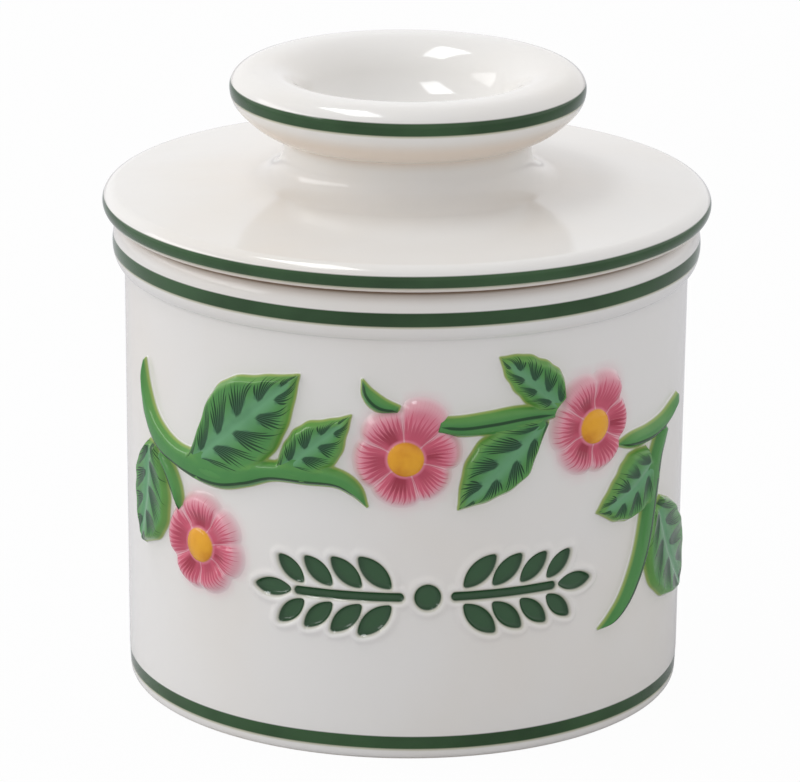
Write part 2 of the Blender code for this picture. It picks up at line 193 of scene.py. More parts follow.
# name: rib points with the half width at each, place of the painted line across the stem
STEMS = {
    "vine_front_left": (
        (
            (-52.9, 60.4, 0.2), (-52.1, 55.8, 1.1), (-50.0, 51.2, 1.8), (-46.5, 48.2, 2.2),
            (-42.0, 46.7, 2.1), (-37.0, 46.0, 2.5), (-32.0, 45.7, 2.4), (-27.0, 46.8, 2.1),
            (-22.0, 48.2, 1.7), (-16.0, 48.5, 1.8), (-11.0, 48.3, 1.6), (-7.9, 46.6, 1.2),
            (-5.9, 43.8, 0.1),
        ),
        -0.58,
    ),
    "tendril_front_left": (
        ((-47.0, 46.2, 1.0), (-43.9, 43.0, 1.4), (-42.2, 40.0, 1.2), (-41.2, 36.6, 0.1)), -0.35,
    ),
    "bud_front": (
        ((-6.8, 65.2, 0.1), (-5.8, 62.8, 1.1), (-3.9, 61.1, 1.3), (-0.9, 60.4, 0.6)), -0.15,
    ),
    "stem_front_middle": (
        ((5.0, 57.8, 1.3), (9.0, 57.4, 1.7), (14.0, 57.7, 1.9), (19.0, 58.1, 1.9), (25.2, 58.2, 1.0)),
        -0.05,
    ),
    "branch_front_right": (
        (
            (38.2, 50.1, 0.1), (42.0, 49.9, 1.3), (47.0, 49.9, 1.5), (52.0, 50.7, 1.3),
            (56.0, 52.1, 0.9), (59.2, 53.4, 0.2),
        ),
        -0.35,
    ),
    "stem_front_right": (
        (
            (52.4, 50.2, 1.3), (49.6, 45.6, 1.8), (48.2, 40.0, 2.0), (46.9, 34.0, 2.0),
            (45.5, 29.5, 1.9), (43.4, 25.5, 1.7), (40.9, 22.2, 1.4), (38.0, 19.9, 1.0),
            (35.2, 18.8, 0.1),
        ),
        0.3,
    ),
    "vine_back": (
        (
            (90.0, 40.0, 0.2), (100.0, 45.2, 1.8), (114.0, 46.2, 2.1), (128.0, 42.0, 2.1),
            (142.0, 39.2, 2.1), (156.0, 41.2, 2.1), (170.0, 46.4, 2.1), (184.0, 48.0, 2.0),
            (196.0, 46.4, 1.6), (208.0, 50.5, 0.2),
        ),
        -0.5,
    ),
    "bud_back": (((119.4, 66.8, 0.1), (123.2, 65.4, 1.4), (127.0, 65.0, 0.4)), 0.0),
}

PETALS = 6
# name: centre, direction in degrees and reach of each petal
FRONT_BLOSSOMS = {
    "blossom_front_left": (
        (-36.3, 32.7), (-10.0, 36.0, 82.0, 178.0, 240.0, 298.0), (8.5, 8.6, 8.6, 8.3, 8.0, 8.0),
    ),
    "blossom_front_centre": (
        (0.2, 52.2), (12.0, 66.0, 124.0, 188.0, 258.0, 318.0), (8.8, 10.3, 8.7, 8.2, 8.0, 7.9),
    ),
    "blossom_front_right": (
        (32.8, 54.5), (4.0, 62.0, 116.0, 174.0, 236.0, 298.0), (7.7, 9.3, 8.9, 8.1, 8.1, 8.0),
    ),
}

# name: centre, direction of the first petal in degrees, reach of the petals
BACK_BLOSSOMS = {
    "blossom_back_1": ((127.0, 55.0), 0.0, 8.8),
    "blossom_back_2": ((158.0, 28.5), 20.0, 8.8),
    "blossom_back_3": ((187.0, 61.0), -15.0, 8.6),
}
# The third petal is a little longer than the others
PETAL_EXTRA = (0.0, 0.0, 0.2, 0.0, 0.0, 0.0)
BLOSSOMS = FRONT_BLOSSOMS | {
    name: (
        centre,
        tuple(turn + 360.0 / PETALS * petal for petal in range(PETALS)),
        tuple(reach + extra for extra in PETAL_EXTRA),
    )
    for name, (centre, turn, reach) in BACK_BLOSSOMS.items()
}
# Radius between two petals, as a share of the shorter one's reach
NOTCH = 0.86
EYE_RADIUS = 2.9
SPOKES = 216
RINGS = 40

# Incised ornament below the spray: a berry between two level sprays of paired leaves
ORNAMENT_CENTRE = (4.0, 28.3)
ORNAMENT_HALF_LENGTH = 28.0
ORNAMENT_PAIRS = 4
ORNAMENT_DEPTH = 0.75
ORNAMENT_LIP = 0.4
ORNAMENT_HALF_HEIGHT = 8.6
BERRY_RADIUS = 2.2
# Ends of a spray's stem, and half length and half width of its first leaves and of its tip
SPRAY_STEM = (4.6, 21.5)
SPRAY_STEM_RADIUS = 0.75
SPRAY_LEAF = (3.7, 1.75)
SPRAY_LEAF_TURN = 44.0
SPRAY_TIP_LEAF = (3.3, 1.5)


def arc(centre, across, up, start_deg, end_deg, steps):
    """Points on an ellipse arc in the (radius, height) plane."""
    angles = np.radians(np.linspace(start_deg, end_deg, steps + 1))
    return [(centre[0] + across * math.cos(a), centre[1] + up * math.sin(a)) for a in angles]


def spaced(points, longest):
    """The same profile with its long straight runs divided."""
    result = [points[0]]
    for near, far in zip(points, points[1:]):
        count = max(1, math.ceil(math.dist(near, far) / longest))
        for step in range(1, count + 1):
            share = step / count
            result.append(tuple(a + (b - a) * share for a, b in zip(near, far)))
    return result


def smoothstep(low, high, value):
    """Smooth ramp from 0 at low to 1 at high."""
    share = np.clip((value - low) / (high - low), 0.0, 1.0)
    return share * share * (3.0 - 2.0 * share)


# ---------------------------------------------------------------- meshes


def new_piece(name, nodes, body, material, points, faces, attributes):
    """Make a smooth mesh piece that rides on a body and stands for CAD nodes."""
    mesh = bpy.data.meshes.new(name)
    mesh.from_pydata([tuple(point) for point in points], [], faces)
    for label, values in attributes.items():
        layer = mesh.attributes.new(label, "FLOAT", "POINT")
        layer.data.foreach_set("value", np.asarray(values, np.float32))
    mesh.materials.append(material)
    mesh.shade_smooth()
    piece = bpy.data.objects.new(name, mesh)
    bpy.context.scene.collection.objects.link(piece)
    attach(piece, body)
    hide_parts(*nodes)


def new_sprig(name, material, points, faces, attributes):
    """Visible piece on the crock in place of a sprig's CAD node."""
    new_piece(name + "_glazed", [name], "crock", material, points, faces, attributes)


def turned(profile, angles, raise_wall=None, closed=False):
    """Points, faces and unrolled places of a profile turned about Z, outer side top to bottom."""
    count = len(angles)
    points = []
    starts = []
    places = []
    for radius, height in profile:
        starts.append(len(points))
        if radius < TINY:
            points.append((0.0, 0.0, height))
            places.append((0.0, height / MM))
            continue
        around = UNROLL_RADIUS * angles
        lift = np.zeros(count)
        if raise_wall is not None:
            lift = raise_wall(radius, height, around) * MM
        for angle, distance, extra in zip(angles, around, lift):
            reach = radius + extra
            points.append((reach * math.sin(angle), -reach * math.cos(angle), height))
            places.append((distance, height / MM))
    faces = []
    rows = list(range(len(profile)))
    pairs = list(zip(rows, rows[1:])) + ([(rows[-1], 0)] if closed else [])
    for upper, lower in pairs:
        pole_above = profile[upper][0] < TINY
        pole_below = profile[lower][0] < TINY
        for column in range(count):
            after = (column + 1) % count
            if pole_above:
                faces.append((starts[upper], starts[lower] + column, starts[lower] + after))
            elif pole_below:
                faces.append((starts[upper] + column, starts[lower], starts[upper] + after))
            else:
                faces.append(
                    (starts[upper] + column, starts[lower] + column,
                     starts[lower] + after, starts[upper] + after)
                )
    return points, faces, np.array(places)


def wall_radius(up):
    """Radius of the plain wall at a height, both in mm."""
    share = (up - WALL_LOW[1] / MM) / ((WALL_HIGH[1] - WALL_LOW[1]) / MM)
    return (WALL_LOW[0] + (WALL_HIGH[0] - WALL_LOW[0]) * share) / MM


def on_wall(around, up, height):
    """Points in metres at a height above the wall, from arrays in mm."""
    radius = (wall_radius(up) + height) * MM
    angle = around / UNROLL_RADIUS
    return np.stack([radius * np.sin(angle), -radius * np.cos(angle), up * MM], -1)


def through(values, position):
    """Smooth Catmull-Rom values at positions 0 to 1 along evenly spread control values."""
    control = np.array(values, float)
    spans = len(control) - 1
    ends = np.concatenate([[2 * control[0] - control[1]], control, [2 * control[-1] - control[-2]]])
    scaled = np.clip(position, 0.0, 1.0) * spans
    span = np.minimum(scaled.astype(int), spans - 1)
    t = scaled - span
    a, b, c, d = (ends[span + offset] for offset in range(4))
    slope = (c - a) * t
    bend = (2 * a - 5 * b + 4 * c - d) * t**2
    twist = (3 * b - a - 3 * c + d) * t**3
    return (2 * b + slope + bend + twist) / 2


def rib_frame(rib, position):
    """Places on the rib at positions 0 to 1, and unit vectors along it and to its left."""
    step = 1e-3
    axes = list(zip(*rib))
    behind, place, ahead = (
        np.stack([through(axis, position + change) for axis in axes], -1) for change in (-step, 0.0, step)
    )
    direction = ahead - behind
    direction /= np.linalg.norm(direction, axis=-1, keepdims=True)
    normal = np.stack([-direction[..., 1], direction[..., 0]], -1)
    return place, direction, normal


def stroke_distance(x, y, start, end, radius):
    """Distance in mm to a round-ended stroke, negative inside."""
    along_x, along_y = end[0] - start[0], end[1] - start[1]
    length = max(along_x**2 + along_y**2, TINY)
    share = np.clip(((x - start[0]) * along_x + (y - start[1]) * along_y) / length, 0.0, 1.0)
    return np.hypot(x - start[0] - share * along_x, y - start[1] - share * along_y) - radius


def signed_inset(places, outline):
    """Distance in mm from each place to a closed outline, positive inside it."""
    flat = places.reshape(-1, 2)
    nearest = np.full(len(flat), np.inf)
    inside = np.zeros(len(flat), bool)
    for (x0, y0), (x1, y1) in zip(outline, np.roll(outline, -1, axis=0)):
        along_x, along_y = x1 - x0, y1 - y0
        gap = stroke_distance(flat[:, 0], flat[:, 1], (x0, y0), (x1, y1), 0.0)
        nearest = np.minimum(nearest, gap)
        crosses = (y0 > flat[:, 1]) != (y1 > flat[:, 1])
        if abs(along_y) > TINY:
            inside ^= crosses & (flat[:, 0] < x0 + (flat[:, 1] - y0) * along_x / along_y)
    return np.where(inside, nearest, -nearest).reshape(places.shape[:-1])


def strip_outline(rib, half_widths):
    """Painted outline of a leaf or stem, in mm on the unrolled wall."""
    position = np.linspace(0.0, 1.0, OUTLINE_POINTS)
    place, _, normal = rib_frame(rib, position)
    left, right = half_widths(position)
    left_side = place + normal * left[:, None]
    right_side = place - normal * right[:, None]
    return np.vstack([left_side, right_side[::-1]])


def strip_grid(rib, half_widths, rows, columns):
    """Grid over a leaf or stem and its skirt: places, share along, offset from the rib, half width."""
    length = np.linalg.norm(np.array(rib[-1]) - np.array(rib[0]))
    ease = (1 - np.cos(np.linspace(0.0, math.pi, rows + 1))) / 2
    spread = np.linspace(0.0, 1.0, rows + 1) * EVEN_ROWS + ease * (1.0 - EVEN_ROWS)
    beyond = SKIRT * SKIRT_ROWS
    past = np.concatenate([-beyond, np.zeros(rows + 1), beyond[::-1]])
    position = np.concatenate([np.zeros_like(beyond), spread, np.ones_like(beyond)])
    place, direction, normal = rib_frame(rib, position)
    place = place + direction * past[:, None]
    left, right = half_widths(position)
    shrink = np.sqrt(np.clip(1.0 - (past / SKIRT) ** 2, SKIRT_POINT, 1.0))
    side = np.cos(np.linspace(0.0, math.pi, columns + 1))
    width = np.where(side > 0, left[:, None], right[:, None])
    offset = (width + SKIRT) * shrink[:, None] * side
    flat = place[:, None, :] + normal[:, None, :] * offset[..., None]
    along = (position + past / length)[:, None] * np.ones_like(offset)
    return flat, along, offset, np.maximum(width, LEAST_HALF_WIDTH)


def sheet_body(front, back):
    """Points and faces of a closed body between two equal grids of points, front outwards."""
    rows, columns = front.shape[:2]
    total = rows * columns
    points = np.vstack([front.reshape(-1, 3), back.reshape(-1, 3)])
    faces = []
    for row in range(rows - 1):
        for column in range(columns - 1):
            a = row * columns + column
            b, c, d = a + columns, a + columns + 1, a + 1
            faces.append((a, b, c, d))
            faces.append((total + d, total + c, total + b, total + a))
    rim = list(range(columns))
    rim += [row * columns + columns - 1 for row in range(1, rows)]
    rim += [(rows - 1) * columns + column for column in range(columns - 2, -1, -1)]
    rim += [row * columns for row in range(rows - 2, 0, -1)]
    for near, far in zip(rim, rim[1:] + rim[:1]):
        faces.append((near, far, total + far, total + near))
    return points, faces


def relief_height(inset):
    """Height, from 0 to 1, of soft relief at a distance in from its painted edge."""
    return smoothstep(*SHOULDER, inset)


def raised(flat, own, joined, modelling):
    """Closed body of a sprig whose relief blends with its neighbours' where they meet."""
    height = LEAF_HEIGHT * relief_height(joined) + modelling * smoothstep(0.0, 0.8, joined)
    height = height - EDGE_STEP * smoothstep(0.5, -0.4, own)
    skirt = smoothstep(-SKIRT, -SKIRT * 0.8, own)
    height = FADED + (height - FADED) * np.where(joined > 0.3, 1.0, skirt)
    outermost = np.zeros(height.shape, bool)
    outermost[[0, -1], :] = True
    outermost[:, [0, -1]] = True
    height = np.where(outermost, np.minimum(height, FADED + 0.9 * relief_height(joined)), height)
    front, back = (on_wall(flat[..., 0], flat[..., 1], level) for level in (height, SUNK))
    return sheet_body(front, back)


def doubled(values):
    """Attribute arrays for the front grid and again for the back grid."""
    return {label: np.concatenate([v.ravel(), v.ravel()]) for label, v in values.items()}


# ---------------------------------------------------------------- materials


def srgb(red, green, blue):
    """Linear colour from 0 to 255 display values."""
    def channel(value):
        value /= 255.0
        return value / 12.92 if value <= 0.04045 else ((value + 0.055) / 1.055) ** 2.4
    return (channel(red), channel(green), channel(blue), 1.0)


IVORY = srgb(232, 230, 226)
IVORY_WARM = srgb(230, 225, 217)
# Warm ivory painted as shade under the lid's knob and edge
IVORY_PAINTED_SHADE = srgb(228, 211, 193)
CLAY = srgb(222, 214, 200)
# Dark warm clay for the rim's bare seat, darkened as painted shade of the seam under the lid
BARE_CLAY_AND_SEAM_SHADE = srgb(150, 126, 104)
BAND_GREEN = srgb(52, 86, 50)
BAND_DEEP = srgb(34, 64, 32)
BAND_EDGE = srgb(150, 152, 96)
SPRIG_EDGE = srgb(150, 172, 92)
LEAF_MID = srgb(78, 140, 72)
LEAF_RIB = srgb(102, 158, 114)
LEAF_EDGE = srgb(104, 158, 76)
LEAF_STROKE = srgb(10, 52, 24)
LEAF_BODY = srgb(44, 90, 66)
STEM_MID = srgb(66, 130, 66)
STEM_SHADE = srgb(44, 104, 50)
ROSE = srgb(200, 84, 108)
ROSE_PALE = srgb(222, 132, 150)
ROSE_DEEP = srgb(148, 26, 52)
BLUSH = srgb(232, 188, 194)
EYE = srgb(234, 168, 40)
EYE_DARK = srgb(206, 128, 20)
INLAY = srgb(54, 90, 58)
INLAY_DEEP = srgb(42, 76, 48)

# Glaze: least roughness and how much it varies, refraction, and depth of the surface's waves
GLAZE_ROUGHNESS = 0.045
UNEVEN = 0.06
GLAZE_IOR = 1.5
GLAZE_SPECULAR = 0.4
WAVE_DEPTH = 0.05 * MM
BARE_ROUGHNESS = 0.7

# Painted bands: low and high edge, and the radius inside which there is no paint, all in mm
RIM_BAND = (74.7, 77.0, 46.5)
FOOT_BAND = (2.0, 4.2, 46.0)
LID_BAND = (81.5, 83.5, 45.0)
KNOB_BAND = (100.7, 102.8, 26.5)
BAND_WANDER = 0.4
BAND_SOFT = 0.12

# Brush hairs: softness of their sides, as a share of the step from one to the next
HAIR_SOFT = 0.09
# Brush fan of a leaf: half width and wander in fans, hairs, and how far behind its start they meet
FAN_HALF_WIDTH = 0.31
FAN_WANDER = 0.2
FAN_ORIGIN = 0.35
LEAF_HAIRS = 7.5
# Hairs across a petal
BROAD_HAIRS = 9.0
FINE_HAIRS = 17.0
# Painted line on a stem, in mm
LINE_HALF_WIDTH = 0.26
LINE_WANDER = 0.5


class Value:
    """Output of a shader node that can take part in sums."""

    def __init__(self, nodes, socket):
        self.nodes = nodes
        self.socket = socket

    def __add__(self, other):
        return self.nodes.maths("ADD", self, other)

    def __sub__(self, other):
        return self.nodes.maths("SUBTRACT", self, other)

    def __mul__(self, other):
        return self.nodes.maths("MULTIPLY", self, other)

    def __truediv__(self, other):
        return self.nodes.maths("DIVIDE", self, other)

    def __abs__(self):
        return self.nodes.maths("ABSOLUTE", self)

    def floor(self):
        """Greatest whole number that is not above the value."""
        return self.nodes.maths("FLOOR", self)

    def off_middle(self):
        """Place within a whole step of the value, from -0.5 to 0.5."""
        return self.nodes.maths("FRACT", self) - 0.5

    def ramp(self, low, high, start=0.0, end=1.0):
        """Smooth change from start to end as the value goes from low to high, or down to high."""
        inputs = {"Value": self, "From Min": low, "From Max": high, "To Min": start, "To Max": end}
        return self.nodes.output("MapRange", "Result", inputs, interpolation_type="SMOOTHSTEP")

    def within(self, limit, soft):
        """One where the value is below a limit and 0 above it, softened on both sides."""
        return self.ramp(limit + soft, limit - soft)


class Nodes:
    """Short way to wire a node tree."""

    def __init__(self, tree):
        self.tree = tree

    def feed(self, socket, value):
        """Link an output, or set a plain value."""
        if isinstance(value, Value):
            self.tree.links.new(value.socket, socket)
        else:
            socket.default_value = value

    def node(self, kind, inputs, **settings):
        """One node with its settings and inputs."""
        node = self.tree.nodes.new("ShaderNode" + kind)
        for label, value in settings.items():
            setattr(node, label, value)
        for label, value in inputs.items():
            self.feed(node.inputs[label], value)
        return node

    def output(self, kind, label, inputs, **settings):
        """Named or numbered output of one new node."""
        return Value(self, self.node(kind, inputs, **settings).outputs[label])

    def maths(self, operation, *values):
        """One Math node."""
        return self.output("Math", 0, dict(enumerate(values)), operation=operation)

    def place(self, kind, axis):
        """One coordinate of a kind of place, such as Object."""
        place = self.output("TexCoord", kind, {})
        return self.output("SeparateXYZ", axis, {0: place})


class Shader(Nodes):
    """Principled material wired from maths, noise and the mesh's attributes."""

    def __init__(self, name):
        self.material = bpy.data.materials.new(name)
        self.material.use_nodes = True
        super().__init__(self.material.node_tree)
        self.principled = self.tree.nodes["Principled BSDF"]

    def mix(self, share, first, second):
        """Mix two colours."""
        node = self.node("Mix", {"Factor": share}, data_type="RGBA")
        colours = [socket for socket in node.inputs if socket.type == "RGBA"]
        self.feed(colours[0], first)
        self.feed(colours[1], second)
        return Value(self, [socket for socket in node.outputs if socket.type == "RGBA"][0])

    def noise(self, scale, detail):
        """Noise value of about 0 to 1."""
        inputs = {"Vector": self.output("TexCoord", "Object", {}), "Scale": scale, "Detail": detail}
        return self.output("TexNoise", "Fac", inputs)

    def luck(self, number):
        """One unrelated value from 0 to 1 for each whole number."""
        return self.output("TexWhiteNoise", "Value", {"W": number}, noise_dimensions="1D")

    def attribute(self, name):
        """A float attribute of the mesh."""
        return self.output("Attribute", "Fac", {}, attribute_name=name)

    def up(self):
        """Height in mm."""
        return self.place("Object", "Z") * (1.0 / MM)

    def radius(self):
        """Distance from the turning axis in mm."""
        x, y = (self.place("Object", axis) * (1.0 / MM) for axis in "XY")
        return self.maths("SQRT", x * x + y * y)

    def strokes(self, turn, thickness):
        """Brush hairs, one to each whole step of turn, whose share of the step is thickness."""
        return abs(turn.off_middle()).within(thickness * 0.5, HAIR_SOFT)

    def finish(self, colour):
        """Glossy fired glaze: roughness varies a little and the surface has soft waves."""
        waves = {"Strength": 0.5, "Distance": WAVE_DEPTH, "Height": self.noise(140.0, 2.0)}
        looks = {
            "Base Color": colour,
            "Roughness": self.noise(38.0, 3.0) * UNEVEN + GLAZE_ROUGHNESS,
            "IOR": GLAZE_IOR,
            "Specular IOR Level": GLAZE_SPECULAR,
            "Normal": self.output("Bump", "Normal", waves),
        }
        for label, value in looks.items():
            self.feed(self.principled.inputs[label], value)
        return self.material


def ivory_colour(shader):
    """Ivory glaze that is a little warmer where it lies thicker."""
    return shader.mix(shader.noise(22.0, 3.0).ramp(0.38, 0.8), IVORY, IVORY_WARM)


def with_band(shader, colour, band):
    """Hand-painted green line between two heights, outside a radius, with uneven edges."""
    low, high, inner = band
    up = shader.up() + (shader.noise(26.0, 1.0) * BAND_WANDER - BAND_WANDER / 2)
    outside = shader.radius().ramp(inner - 0.4, inner)
    above = up.ramp(low - BAND_SOFT, low + BAND_SOFT)
    below = up.ramp(high + BAND_SOFT, high - BAND_SOFT)
    fringe = up.ramp(low - 0.5, low - 0.05) * up.ramp(low + 0.25, low) * outside
    green = shader.mix(shader.noise(55.0, 3.0).ramp(0.3, 0.75), BAND_GREEN, BAND_DEEP)
    edged = shader.mix(fringe * 0.6, colour, BAND_EDGE)
    return shader.mix(above * below * outside, edged, green)


def crock_material():
    """Ivory wall with rim and foot bands, blush round the blossoms, inlaid ornament, bare clay, and
    painted seam shade with dark bare clay on the rim under the lid.
    """
    shader = Shader("crock_glaze")
    colour = shader.mix(shader.attribute("blush") * 0.45, ivory_colour(shader), BLUSH)
    colour = with_band(shader, colour, RIM_BAND)
    colour = with_band(shader, colour, FOOT_BAND)
    inlay = shader.attribute("ornament")
    green = shader.mix(inlay.ramp(0.0, -0.9), INLAY_DEEP, INLAY)
    colour = shader.mix(inlay.ramp(0.45, 0.1) * 0.35, colour, BAND_EDGE)
    colour = shader.mix(inlay.ramp(0.14, -0.10), colour, green)
    bare_seat_and_shade = shader.attribute("bare_seat_and_shade")
    bare = shader.attribute("bare")
    # Painted shade: the rim just under the lid's edge is darkened as the seam's shade, ending in dark
    # bare clay
    colour = shader.mix(bare_seat_and_shade, colour, BARE_CLAY_AND_SEAM_SHADE)
    colour = shader.mix(bare, colour, CLAY)
    material = shader.finish(colour)
    roughness = shader.principled.inputs["Roughness"]
    glazed = Value(shader, roughness.links[0].from_socket)
    shader.feed(roughness, shader.maths("MAXIMUM", bare_seat_and_shade, bare) * BARE_ROUGHNESS + glazed)
    return material


def lid_material():
    """Ivory lid with warm shade painted under the knob and under the edge, and with painted edge and knob
    bands.
    """
    shader = Shader("lid_glaze")
    up = shader.up()
    outside_neck = shader.radius().ramp(19.5, 20.5)
    near_edge = shader.radius().ramp(45.0, 47.0)
    # Painted shade: warm shade painted under the knob's flange, down the neck and under the lid's edge
    under_knob = up.ramp(92.0, 94.8) * up.ramp(100.0, 96.8) * outside_neck
    under_edge = up.ramp(81.6, 80.7) * near_edge * 0.6
    painted_warm_shade = shader.maths("MAXIMUM", under_knob, under_edge)
    colour = shader.mix(painted_warm_shade * 0.75, ivory_colour(shader), IVORY_PAINTED_SHADE)
    colour = with_band(shader, colour, LID_BAND)
    colour = with_band(shader, colour, KNOB_BAND)
    return shader.finish(colour)


def bell_material():
    """Plain ivory glaze."""
    shader = Shader("bell_glaze")
    return shader.finish(ivory_colour(shader))


def painted_edge(shader, inset, paint):
    """Paint that thins to a yellowish line at its edge and then to the ivory glaze."""
    edge = shader.mix(inset.ramp(-0.05, 0.25), SPRIG_EDGE, paint)
    return shader.mix(inset.ramp(-0.3, -0.05), IVORY, edge)


def leaf_fan(across, reach):
    """Broad middle of a brush fan, fading out towards the leaf's margin."""
    body = abs(across).within(reach.ramp(-0.03, 0.22) * FAN_HALF_WIDTH, 0.08)
    return body * reach.ramp(0.62, 0.2) * reach.ramp(0.0, 0.06)


def leaf_hairs(shader, across, reach, cell, out):
    """Separate hairs at the end of a brush fan, spreading and thinning out to the leaf's margin."""
    spread = reach.ramp(0.0, 0.5) * 0.32 + 0.15
    inside = abs(across).ramp(spread, spread - 0.05)
    turn = across / (abs(reach) + FAN_ORIGIN) * LEAF_HAIRS + cell * 37.0
    end = shader.luck(turn.floor()) * 0.28 + 0.78
    thickness = out.ramp(end, end - 0.5) * 0.72
    hairs = shader.strokes(turn, thickness) * inside * reach.ramp(0.0, 0.08)
    return hairs * thickness.ramp(0.0, 0.06)


def leaf_material():
    """Green leaf with a dark brush fan between every two side veins."""
    shader = Shader("leaf_glaze")
    lobe = shader.noise(110.0, 1.0) * FAN_WANDER + shader.attribute("lobe") - FAN_WANDER / 2
    out = shader.attribute("out")
    inset = shader.attribute("inset")
    cell = lobe.floor()
    across = lobe.off_middle()
    reach = out - (shader.luck(cell) * 0.12 + 0.04)
    off_stem = (inset - shader.attribute("own")).ramp(0.6, 0.2)
    hairs = leaf_hairs(shader, across, reach, cell, out) * off_stem
    blotches = shader.noise(150.0, 3.0).ramp(0.40, 0.85)
    green = shader.mix(out.ramp(0.0, 0.55), LEAF_RIB, LEAF_MID)
    green = shader.mix(inset.ramp(1.5, 0.3), green, LEAF_EDGE)
    green = shader.mix(blotches * 0.28, green, STEM_SHADE)
    green = shader.mix(leaf_fan(across, reach) * 0.72, green, LEAF_BODY)
    green = shader.mix(hairs * 0.92, green, LEAF_STROKE)
    return shader.finish(painted_edge(shader, inset, green))


def stem_material():
    """Green stem with one dark brushed line."""
    shader = Shader("stem_glaze")
    inset = shader.attribute("inset")
    along = shader.attribute("along")
    wander = shader.noise(70.0, 1.0) * LINE_WANDER - LINE_WANDER / 2
    off_line = abs(shader.attribute("line") + wander)
    taper = along.ramp(0.02, 0.16) * along.ramp(0.99, 0.86)
    half = taper * LINE_HALF_WIDTH
    line = off_line.ramp(half + 0.12, half - 0.1) * taper.ramp(0.0, 0.15)
    patches = shader.noise(120.0, 3.0).ramp(0.35, 0.75)
    lit_side = shader.attribute("side").ramp(0.2, 0.9) * inset.ramp(2.6, 1.2)
    green = shader.mix(patches, LEAF_MID, STEM_MID)
    green = shader.mix(lit_side * 0.6, green, LEAF_EDGE)
    green = shader.mix(line * 0.88, green, LEAF_STROKE)
    return shader.finish(painted_edge(shader, inset, green))


def blossom_material():
    """Blush petals with rose brush strokes running out from a yellow eye."""
    shader = Shader("blossom_glaze")
    petal = shader.attribute("petal")
    out = shader.attribute("out")
    radius = shader.attribute("radius")
    across = abs(petal.off_middle())
    place = petal + shader.noise(300.0, 1.0) * 0.10
    clear_of_eye = radius.ramp(EYE_RADIUS + 0.1, EYE_RADIUS + 0.6)
    turn = place * BROAD_HAIRS + 3.0
    thickness = radius.ramp(shader.luck(turn.floor()) * 1.5 + 7.7, 3.6)
    broad = shader.strokes(turn, thickness * 1.1) * thickness.ramp(0.0, 0.05)
    broad = broad * across.ramp(0.49, 0.43) * clear_of_eye
    turn = place * FINE_HAIRS + 5.0
    thickness = radius.ramp(shader.luck(turn.floor()) * 2.2 + 7.0, 3.0)
    fine = shader.strokes(turn, thickness * 0.8) * out.ramp(1.1, 0.9) * clear_of_eye
    weight = shader.luck(petal.floor() + 11.0) * 1.1
    deep = across.ramp(0.40, 0.12) * radius.ramp(7.2, 4.8) * clear_of_eye * weight
    cloudy = shader.noise(170.0, 2.0).ramp(0.25, 0.75)
    colour = shader.mix(cloudy * 0.4, ROSE_PALE, ROSE)
    colour = shader.mix(out.ramp(0.70, 1.08), colour, BLUSH)
    colour = shader.mix(across.ramp(0.43, 0.49) * 0.7, colour, BLUSH)
    colour = shader.mix(fine * 0.6, colour, ROSE)
    colour = shader.mix(broad * 0.85, colour, shader.mix(deep, ROSE, ROSE_DEEP))
    yellow = shader.mix(shader.noise(180.0, 3.0).ramp(0.35, 0.7), EYE, EYE_DARK)
    colour = shader.mix(radius.ramp(EYE_RADIUS + 0.15, EYE_RADIUS - 0.15), colour, yellow)
    halo = shader.mix(0.45, IVORY, BLUSH)
    return shader.finish(shader.mix(shader.attribute("inset").ramp(-0.7, 0.4), halo, colour))


# ---------------------------------------------------------------- ornament


def lens_distance(x, y, middle, turn, half_length, half_width):
    """Distance in mm to a leaf-shaped lens with softened points, negative inside."""
    soft = 0.45
    tip, belly = half_length - soft, half_width - soft
    along = np.abs((x - middle[0]) * math.cos(turn) + (y - middle[1]) * math.sin(turn))
    across = np.abs((y - middle[1]) * math.cos(turn) - (x - middle[0]) * math.sin(turn))
    bow = (tip**2 + belly**2) / (2 * belly)
    centre = bow - belly
    off_the_point = np.hypot(across, along - tip)
    off_the_side = np.hypot(across + centre, along) - bow
    return np.where((along - tip) * centre > across * tip, off_the_point, off_the_side) - soft


def ornament_distance(around, up):
    """Distance in mm to the ornament's painted edge, negative inside."""
    x = np.abs(around - ORNAMENT_CENTRE[0])
    y = up - ORNAMENT_CENTRE[1]
    nearest = np.hypot(x, y) - BERRY_RADIUS
    if not np.any((x < ORNAMENT_HALF_LENGTH + 6.0) & (np.abs(y) < 14.0)):
        return nearest
    ends = [(place, 0.0) for place in SPRAY_STEM]
    nearest = np.minimum(nearest, stroke_distance(x, y, *ends, SPRAY_STEM_RADIUS))
    step = (ORNAMENT_HALF_LENGTH - 8.5) / ORNAMENT_PAIRS
    for pair in range(ORNAMENT_PAIRS):
        size = 1.0 - 0.06 * pair
        half_length, half_width = SPRAY_LEAF[0] * size, SPRAY_LEAF[1] * size
        root = 6.0 + pair * step
        for above in (-1.0, 1.0):
            turn = math.radians(SPRAY_LEAF_TURN) * above
            rise = (1.5 + half_length * abs(math.sin(turn))) * above
            middle = (root + half_length * math.cos(turn), rise)
            leaf = lens_distance(x, y, middle, turn, half_length, half_width)
            nearest = np.minimum(nearest, leaf)
    middle = (ORNAMENT_HALF_LENGTH - 1.9, 0.0)
    return np.minimum(nearest, lens_distance(x, y, middle, 0.0, *SPRAY_TIP_LEAF))


def wall_relief(radius, height, around):
    """Height in mm that the incised ornament adds to the outer wall, with its soft raised lip."""
    up = height / MM
    on_outer_wall = WALL_LOW[1] / MM < up < WALL_HIGH[1] / MM and radius > WALL_LOW[0] - MM
    if not on_outer_wall:
        return np.zeros_like(around)
    distance = ornament_distance(around, up)
    groove = -ORNAMENT_DEPTH * smoothstep(0.35, -0.55, distance)
    lip = ORNAMENT_LIP * np.exp(-(((distance - 0.75) / 0.55) ** 2))
    return groove + lip


# ---------------------------------------------------------------- pieces


